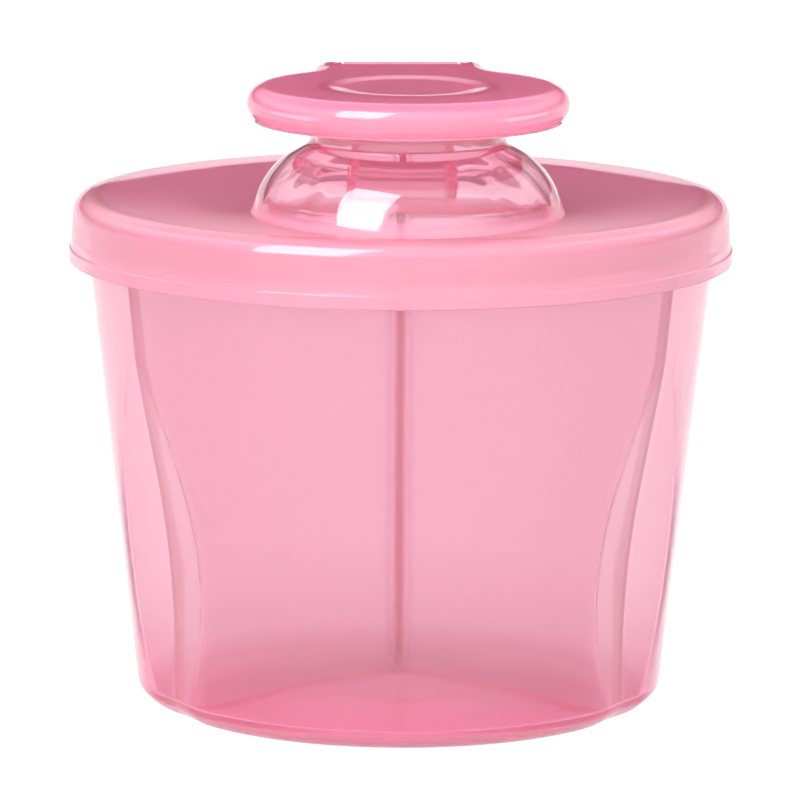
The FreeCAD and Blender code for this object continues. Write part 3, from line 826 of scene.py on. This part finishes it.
def cap_plan():
    """Outline of disc and tail about the spout's axis, as points and inward normals."""
    back = HINGE_RADIUS + CAP_HEIGHT / 2
    half, corner_radius = NOTCH_HALF + EAR_WIDTH, CAP_EDGE + EAR_CORNER
    reach, side = CAP_RADIUS + TAIL_BLEND, half + TAIL_BLEND
    blend_y = math.sqrt(reach ** 2 - side ** 2)
    touch = math.atan2(blend_y, side)
    runs = [
        ((0, 0), CAP_RADIUS, -math.pi / 2, touch, 90),
        ((side, blend_y), TAIL_BLEND, math.pi + touch, math.pi, 14),
        ((half - corner_radius, back - corner_radius), corner_radius, 0, math.pi / 2, 12),
    ]
    points, normals = [], []
    for (x, y), radius, first, last, steps in runs:
        facing = -1 if last < first else 1
        for a in np.linspace(first, last, steps):
            points.append((x + radius * math.cos(a), y + radius * math.sin(a)))
            normals.append((-facing * math.cos(a), -facing * math.sin(a)))
    points += [(-x, y) for x, y in reversed(points)]
    normals += [(-x, y) for x, y in reversed(normals)]
    keep = [k for k in range(len(points))
            if math.dist(points[k], points[k - 1]) > 1e-6]
    return np.array(points)[keep], np.array(normals)[keep]


def dish_section():
    """The finger dish from the middle out, as (r, z): level, then an S-shaped rise."""
    edge = DISH_RADIUS - DISH_SWEEP
    points = [(r, CAP_TOP - DISH_DEPTH) for r in np.linspace(CENTRE, edge, DISH_STEPS + 1)[:-1]]
    for share in np.linspace(0, 1, SWEEP_STEPS + 1):
        depth = DISH_DEPTH * (1 + math.cos(math.pi * share)) / 2
        points.append((edge + DISH_SWEEP * share, CAP_TOP - depth))
    return points


def underside_section():
    """The cap's hollow underside from its rim to the middle, as (r, z), with the plug ring."""
    inner = CAP_RADIUS - CAP_WALL
    ceiling = CAP_TOP - CAP_WALL
    plug = NECK_RADIUS - NECK_WALL - SLIP
    narrow = plug - PLUG_TAPER
    bottom = ceiling - PLUG_LENGTH
    walls = np.linspace(CAP_BOTTOM + 1.0, ceiling - HOLLOW_BEVEL * 2, 3)
    return [
        (inner + HOLLOW_BEVEL, CAP_BOTTOM), (inner, CAP_BOTTOM + LIP_BEVEL),
        *[(inner, height) for height in walls],
        (inner, ceiling - HOLLOW_BEVEL), (inner - HOLLOW_BEVEL, ceiling),
        (plug + LIP_BEVEL, ceiling), (plug, ceiling - LIP_BEVEL),
        ((plug + narrow) / 2, (ceiling + bottom) / 2),
        (narrow, bottom + LIP_BEVEL), (narrow - LIP_BEVEL, bottom),
        (narrow - PLUG_WALL + LIP_BEVEL, bottom), (narrow - PLUG_WALL, bottom + LIP_BEVEL),
        (plug - PLUG_WALL, ceiling - LIP_BEVEL), (plug - PLUG_WALL - LIP_BEVEL, ceiling),
        (plug / 2, ceiling), (CENTRE, ceiling),
    ]


def cap_loops():
    """The cap before its notch is cut, as a run of loops from the dish to the underside."""
    plan, inward = cap_plan()
    # the loops on the disc are spread evenly, so that the tail's points do not crowd
    angles = -math.pi / 2 + np.linspace(0, 2 * math.pi, len(plan), endpoint=False)
    circle = np.stack([np.cos(angles), np.sin(angles)], axis=1)
    upper, lower = CAP_TOP - CAP_EDGE, CAP_BOTTOM + CAP_EDGE
    quarter = np.linspace(0, math.pi / 2, EDGE_STEPS + 1)
    outlines = [(circle * radius, height) for radius, height in dish_section()]
    rim = plan + inward * CAP_EDGE
    outlines += [(circle * DISH_RADIUS * (1 - share) + rim * share, CAP_TOP)
                 for share in np.linspace(0, 1, TOP_STEPS + 1)[1:-1]]
    # the rolled edge: a quarter turn down to its flat, and another below it
    for middle, a in [(upper, a) for a in quarter[::-1]] + [(lower, -a) for a in quarter]:
        outlines.append((plan + inward * CAP_EDGE * (1 - math.cos(a)),
                         middle + CAP_EDGE * math.sin(a)))
    outlines += [(circle * radius, height) for radius, height in underside_section()]
    return [np.column_stack([outline, np.full(len(plan), height)]) for outline, height in outlines]


def build_cap(material):
    """The flip cap, with its notch and the bores for the pins cut."""
    loops = cap_loops()
    dish_middle = tuple(range(len(loops[0])))[::-1]
    form = mesh_object("cap_disc", np.concatenate(loops), hoops(loops) + [dish_middle], material)
    notch_front = HINGE_RADIUS - CAP_HEIGHT / 2 - HINGE_GAP
    notch_back = HINGE_RADIUS + CAP_HEIGHT
    # the cut passes the cap above, below and behind, and just reaches its hollow
    low, high = CAP_BOTTOM - 1, CAP_TOP + 1
    ceiling = CAP_TOP - CAP_WALL
    inner = math.sqrt((CAP_RADIUS - CAP_WALL) ** 2 - NOTCH_HALF ** 2) - 0.5
    cut = [(notch_front, high), (notch_back, high), (notch_back, low), (inner, low),
           (inner, ceiling), (notch_front, ceiling)]
    joined(form, prism("notch", cut, -NOTCH_HALF, NOTCH_HALF, material), "DIFFERENCE")
    bore = about_hinge(HINGE_RADIUS, PIN_RADIUS + PIN_PLAY, PIN_ANGLES)
    deep = KNUCKLE_HALF + PIN_LENGTH + HINGE_GAP
    joined(form, prism("bores", bore, -deep, deep, material), "DIFFERENCE")
    form.name = "flip_cap"
    return turned_with_lid(smooth(form, sharp_over=28), SPOUT_OFFSET)


# ---------------------------------------------------------------- plastic
IOR = 1.49
TINT = (0.993, 0.45, 0.65) # the light that it lets through: a higher density deepens it
THROUGH = 0.5              # share of the scattered light that goes on through the wall
FLOW_SCALE = 60.0          # the slow marks of the melt's flow, about 17 mm apart
FLOW_DEPTH = 0.02          # how high they stand, in millimetres
FLOW_ROUGH = 0.06          # how much they change the roughness
GRAIN_SCALE = 1400.0       # the mould's fine grain
GRAIN_ROUGH = 0.03
WAVE_SCALE = 230.0         # the upright waves, about 4 mm apart
WAVE_DEPTH = 0.22          # how high they stand, in millimetres
WAVE_STRETCH = (1, 1, 0.3) # how often they come along x, y and z
CLOUD = (0.985, 1.01)      # how far the scattered colour varies between the flow marks


class Spot:
    """Where a point of a surface lies, in millimetres: its x, y and height, and its distance
    from the origin's upright axis."""

    def __init__(self, tree, place):
        parts = tree.add("ShaderNodeSeparateXYZ", None, place)
        self.x = parts / MM
        self.y = tree.more(parts, "Y") / MM
        self.height = tree.more(parts, "Z") / MM
        self.radius = (self.x * self.x + self.y * self.y).math("SQRT")


def rising(value, start, length):
    """0 up to start, then rising to 1 over a length."""
    return ((value - start) / length).clamp(0, 1)


def falling(value, end, length):
    """1 until a length before end, then falling to 0 there."""
    return ((end - value) / length).clamp(0, 1)


def mixed(tree, share, first, second):
    """A colour between two others, which are the node's seventh and eighth inputs."""
    return tree.add("ShaderNodeMix", {"data_type": "RGBA"}, share, *[None] * 5, first, second,
                    out=2)


def plastic(name, density, roughness, milk_colour, milk, painted_shade_colour, deep, waves=None):
    """Translucent moulded polypropylene. milk is how much of the light it scatters, deep
    where a deeper pink is painted in as shade and waves where its surface has upright waves:
    these three are functions of a Spot, from 0 to 1."""
    material = bpy.data.materials.new(name)
    tree = empty_tree(material)
    place = tree.more(tree.add("ShaderNodeTexCoord"), "Object")
    spot = Spot(tree, place)
    flow = tree.add("ShaderNodeTexNoise", None, place, Scale=FLOW_SCALE, Detail=2.0, Roughness=0.5)
    grain = tree.add("ShaderNodeTexNoise", None, place, Scale=GRAIN_SCALE, Detail=2.0)
    cloud = mixed(tree, flow, *[(*[min(c * level, 1) for c in milk_colour], 1) for level in CLOUD])
    # painted shade: the deeper pink is laid over the scattered colour where deep is high
    shade = mixed(tree, deep(spot), cloud, (*painted_shade_colour, 1))
    rough = (flow - 0.5) * FLOW_ROUGH + (grain - 0.5) * GRAIN_ROUGH + roughness
    swell = flow * FLOW_DEPTH
    if waves:
        along = tree.add("ShaderNodeVectorMath", {"operation": "MULTIPLY"}, place, WAVE_STRETCH)
        upright = tree.add("ShaderNodeTexNoise", None, along, Scale=WAVE_SCALE, Detail=0.0)
        swell = swell + upright * waves(spot) * WAVE_DEPTH
    bumps = tree.add("ShaderNodeBump", None, Strength=1.0, Distance=MM, Height=swell)
    clear = tree.add("ShaderNodeBsdfPrincipled", None, Base_Color=(1, 1, 1, 1), Roughness=rough,
                     IOR=IOR, Normal=bumps, Transmission_Weight=1.0)
    cloudy = tree.add("ShaderNodeBsdfPrincipled", None, Base_Color=shade, Roughness=rough,
                      IOR=IOR, Normal=bumps)
    through = tree.add("ShaderNodeBsdfTranslucent", None, (*milk_colour, 1))
    milky = tree.add("ShaderNodeMixShader", None, THROUGH, cloudy, through)
    body = tree.add("ShaderNodeMixShader", None, milk(spot), clear, milky)
    inside = tree.add("ShaderNodeVolumeAbsorption", None, (*TINT, 1), density)
    tree.add("ShaderNodeOutputMaterial", None, body, inside)
    return material


# container
def floor_share(spot):
    """1 on the container's floor, within its foot ring."""
    return (falling(spot.radius, end=FOOT_IN, length=1.0)
            * falling(spot.height, end=6.0, length=1.0))


def base_painted_shade(spot):
    """Painted shade: 1 at the container's base, falling to 0 over the wall's lowest part. The
    deeper pink there stands in for how light passes through the thick foot.
    """
    return falling(spot.height, end=18.0, length=13.0)


def wall_milk(spot):
    """How cloudy the container is: its floor and foot more than its wall."""
    wall, base_more, solid_more = 0.18, 0.10, 0.24
    foot = falling(spot.height, end=3.5, length=2.0)
    solid = foot.math("MAXIMUM", floor_share(spot))
    return solid * solid_more + base_painted_shade(spot) * base_more + wall


def container_pink():
    # the deeper pink towards the base is painted shade
    return plastic("container_pink", density=380.0, roughness=0.10,
                   milk_colour=(0.80, 0.56, 0.65), milk=wall_milk,
                   painted_shade_colour=(1.0, 0.25, 0.48), deep=base_painted_shade)


# divider
def blade_milk(spot):
    """How cloudy the divider is: the blades' outer edges and feet more than the rest, and
    the core less."""
    blade, edge_more, core_less = 0.15, 0.4, 0.12
    edge_width, foot_height = 1.35, 1.2
    valley = (spot.height - FLUTE_KNEE).math("MAXIMUM", 0) * FLUTE_DRAFT + VALLEY_RADIUS
    wall = valley.math("MINIMUM", spot.height * WALL_DRAFT + BASE_RADIUS)
    edge = rising(spot.radius - wall, start=-WALL - SLIP - edge_width, length=0.3)
    off_axis = spot.radius / FOOT_IN
    floor = (1 - off_axis * off_axis).math("MAXIMUM", 0) * FLOOR_RISE + FLOOR + SLIP
    foot = falling(spot.height - floor, end=foot_height, length=0.6)
    core = falling(spot.radius, end=3.2, length=1.0)
    return blade + edge.math("MAXIMUM", foot) * edge_more - core * core_less


def blade_painted_shade(spot):
    """Painted shade: 1 at the blades' outer edges and feet, by how cloudy they are. The deeper
    pink there stands in for the shade along their edges and in the crease at the floor.
    """
    return rising(blade_milk(spot), start=0.25, length=0.2)


def divider_pink():
    # the deeper pink at the blades' edges and feet is painted shade
    return plastic("divider_pink", density=190.0, roughness=0.12,
                   milk_colour=(1.0, 0.54, 0.70), milk=blade_milk,
                   painted_shade_colour=(1.0, 0.12, 0.38), deep=blade_painted_shade)


# lid
def spout_share(spot):
    """1 on the spout, above the lid's plate."""
    return rising(spot.height, start=LID_HEIGHT + 0.5, length=2.0)


def flank_share(spot):
    """1 on the spout's flanks, to the left and right of its front and its neck."""
    return rising(spot.x.math("ABSOLUTE"), start=8.0, length=6.0) * spout_share(spot)


def lid_milk(spot):
    """How cloudy the lid is: its spout and the back of its rim less than the rest."""
    plate, spout_less, rim_less, bracket_keeps = 0.50, 0.36, 0.38, 0.6
    bracket = rising(spot.y, start=0.5, length=1.5) * bracket_keeps
    rim = (rising(spot.radius, start=50.0, length=1.5)
           * rising(spot.y, start=5.0, length=15.0)
           * rising(spot.height, start=LID_HEIGHT - 3.0, length=1.5))
    return plate - spout_share(spot) * (1 - bracket) * spout_less - rim * rim_less


def plate_painted_shade(spot):
    """Painted shade: a deeper pink on the plate within the rim, most at its back, for the
    dark room that the plate reflects.
    """
    middle, reach = 0.60, 90.0
    plate = (falling(spot.radius, end=51.0, length=3.0)
             * falling(spot.height, end=LID_HEIGHT + 3.0, length=1.5))
    return plate * (spot.y / reach + middle)


def lid_pink():
    # the deeper pink on the plate is painted shade and a painted dark reflection
    return plastic("lid_pink", density=290.0, roughness=0.04,
                   milk_colour=(0.95, 0.56, 0.68), milk=lid_milk,
                   painted_shade_colour=(0.97, 0.38, 0.66), deep=plate_painted_shade, waves=flank_share)


# cap
def tail_share(spot):
    """1 on the cap's tail, falling to 0 over the back of its disc."""
    return rising(spot.y, start=22.0 - SPOUT_OFFSET, length=4.0)


def cap_milk(spot):
    """How cloudy the cap is: its disc more than the plug below it."""
    disc, plug_less = 0.5, 0.3
    return disc - falling(spot.height, end=CAP_BOTTOM - 0.1, length=0.4) * plug_less


def cap_painted_shade(spot):
    """Painted shade: a deeper pink on the cap's top and its tail, for the dark room that
    the top reflects.
    """
    top = rising(spot.height, start=CAP_TOP - 1.4, length=1.0)
    return tail_share(spot).math("MAXIMUM", top)


def cap_pink():
    # the deeper pink on the cap's top and tail is painted shade and a painted dark reflection
    return plastic("cap_pink", density=400.0, roughness=0.05,
                   milk_colour=(0.98, 0.56, 0.72), milk=cap_milk,
                   painted_shade_colour=(0.95, 0.37, 0.62), deep=cap_painted_shade)


# ---------------------------------------------------------------- studio
AIM = Vector((0, 0, 0.06))                 # the lamps face this point
FLOOR_REACH, FLOOR_FRONT = 6.0, -0.45
FLOOR_GREY, FLOOR_GLOW = (0.3, 0.3, 0.3), 0.98
WORLD_STRENGTH = 1.25
# the world's brightness, as stops (place, level): by the sine of the angle above the horizon,
# and round the object, from 0 in front of it over 0.5 at its sides to 1 behind it
WORLD_ABOVE = [(0.0, 0.95), (0.098, 0.95), (0.104, 0.05), (0.15, 0.08), (0.2, 0.28), (0.45, 1.3)]
WORLD_AROUND = [(0.08, 1.4), (0.2, 1.05), (0.5, 0.72), (0.7, 0.95)]


def plain(name, colour, strength):
    """A surface that looks evenly bright, and still takes the object's shadow."""
    material = bpy.data.materials.new(name)
    tree = empty_tree(material)
    paths = tree.add("ShaderNodeLightPath")
    seen = (paths + tree.more(paths, "Is Glossy Ray")
            + tree.more(paths, "Is Transmission Ray")).math("MINIMUM", 1)
    paper = tree.add("ShaderNodeBsdfDiffuse", None, (*colour, 1))
    glow = tree.add("ShaderNodeEmission", None, (1, 1, 1, 1), seen * strength)
    tree.add("ShaderNodeOutputMaterial", None, tree.add("ShaderNodeAddShader", None, paper, glow))
    return material


def build_floor():
    """A wide level floor that carries the object's shadow."""
    mesh = bpy.data.meshes.new("floor")
    mesh.from_pydata([(-FLOOR_REACH, FLOOR_FRONT, 0), (FLOOR_REACH, FLOOR_FRONT, 0),
                      (FLOOR_REACH, FLOOR_REACH, 0), (-FLOOR_REACH, FLOOR_REACH, 0)],
                     [], [(0, 1, 2, 3)])
    floor = linked("floor", mesh)
    mesh.materials.append(plain("white_sweep", FLOOR_GREY, FLOOR_GLOW))


def softbox(name, azimuth, elevation, distance, width, height, power, mirrored):
    """An area lamp that faces the object. Azimuth 0 is the front, and 90 the right.
    A mirrored one shows only as a highlight, and the others only as soft light."""
    lamp = bpy.data.lights.new(name, "AREA")
    lamp.shape = "RECTANGLE"
    lamp.size, lamp.size_y, lamp.energy = width, height, power
    thing = linked(name, lamp)
    a, e = math.radians(azimuth), math.radians(elevation)
    way = Vector((math.sin(a) * math.cos(e), -math.cos(a) * math.cos(e), math.sin(e)))
    thing.location = AIM + way * distance
    thing.rotation_euler = way.to_track_quat("Z", "Y").to_euler()
    thing.visible_diffuse = not mirrored
    thing.visible_glossy = thing.visible_transmission = mirrored


def build_world():
    """A bright room with a dim ring just above the horizon. The camera sees it plain white."""
    world = bpy.data.worlds.new("studio")
    bpy.context.scene.world = world
    tree = empty_tree(world)
    way = tree.add("ShaderNodeTexCoord")
    parts = tree.add("ShaderNodeSeparateXYZ", None, way)
    x, y, z = parts, tree.more(parts, "Y"), tree.more(parts, "Z")
    across = (x * x + y * y).math("SQRT").math("MAXIMUM", 1e-4)
    above = tree.add("ShaderNodeValToRGB", {"stops": WORLD_ABOVE}, z)
    around = tree.add("ShaderNodeValToRGB", {"stops": WORLD_AROUND}, y / across * 0.5 + 0.5)
    room = above * around
    seen = tree.add("ShaderNodeLightPath")
    light = tree.add("ShaderNodeBackground", None, room * (1 - seen) + seen, WORLD_STRENGTH)
    tree.add("ShaderNodeOutputWorld", None, light)


def build_camera():
    """A long lens in front of the object, which looks down on it by 10 degrees."""
    camera = bpy.data.cameras.new("camera")
    camera.sensor_width = 36.0
    camera.lens = 301.9
    camera.clip_start, camera.clip_end = 0.01, 50
    thing = linked("camera", camera)
    thing.location = (0, -1.1, 0.2447)
    down, roll = math.radians(10), math.radians(0.33)
    tilt = Matrix.Rotation(math.pi / 2 - down, 4, "X") @ Matrix.Rotation(roll, 4, "Z")
    thing.rotation_euler = tilt.to_euler()
    bpy.context.scene.camera = thing


bpy.context.scene.view_settings.view_transform = "Standard"

for build, pink, body in ((build_container, container_pink, "container"),
                          (build_divider, divider_pink, "divider"),
                          (build_lid, lid_pink, "lid"),
                          (build_cap, cap_pink, "cap")):
    thing = build(pink())
    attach(thing, body)
    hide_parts(body)

build_floor()
build_world()
build_camera()
softbox("key", azimuth=-37, elevation=42, distance=0.8, width=0.44, height=0.62, power=12.0,
        mirrored=True)
softbox("fill_left", azimuth=-38, elevation=10, distance=1.0, width=0.9, height=0.5, power=6.5,
        mirrored=False)
softbox("fill_right", azimuth=38, elevation=10, distance=1.0, width=0.9, height=0.5, power=6.0,
        mirrored=False)
